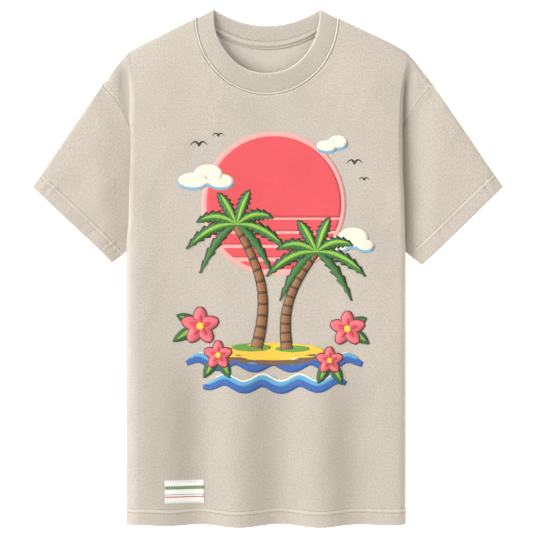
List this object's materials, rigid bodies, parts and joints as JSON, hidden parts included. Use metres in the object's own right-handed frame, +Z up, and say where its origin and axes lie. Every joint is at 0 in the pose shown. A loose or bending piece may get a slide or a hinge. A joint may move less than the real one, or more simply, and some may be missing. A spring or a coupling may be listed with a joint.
{
  "type": "short-sleeved T-shirt",
  "caption": "Short-sleeved crew-neck T-shirt in heavy jersey, lying face up with its sleeves folded down, with a ribbed collar, double-stitched hems and a bare hem label.",
  "frame": {"origin": "on the surface that the shirt lies on, under the middle of its outline", "axes": "+X across the shirt to the right as it is seen face up, +Y from the hem to the collar, +Z up from the surface through the front"},
  "size_m": [0.687, 0.7567, 0.03],
  "materials": {
    "jersey": "washed heavy cotton jersey, matt",
    "rib": "washed cotton rib, matt",
    "label_satin": "white woven satin"
  },
  "bodies": {
    "root": {"front_panel": "jersey", "back_panel": "jersey", "sleeve_left": "jersey", "sleeve_right": "jersey", "collar": "rib", "neck_tape": "jersey", "hem_label": "label_satin"}
  },
  "joints": []
}
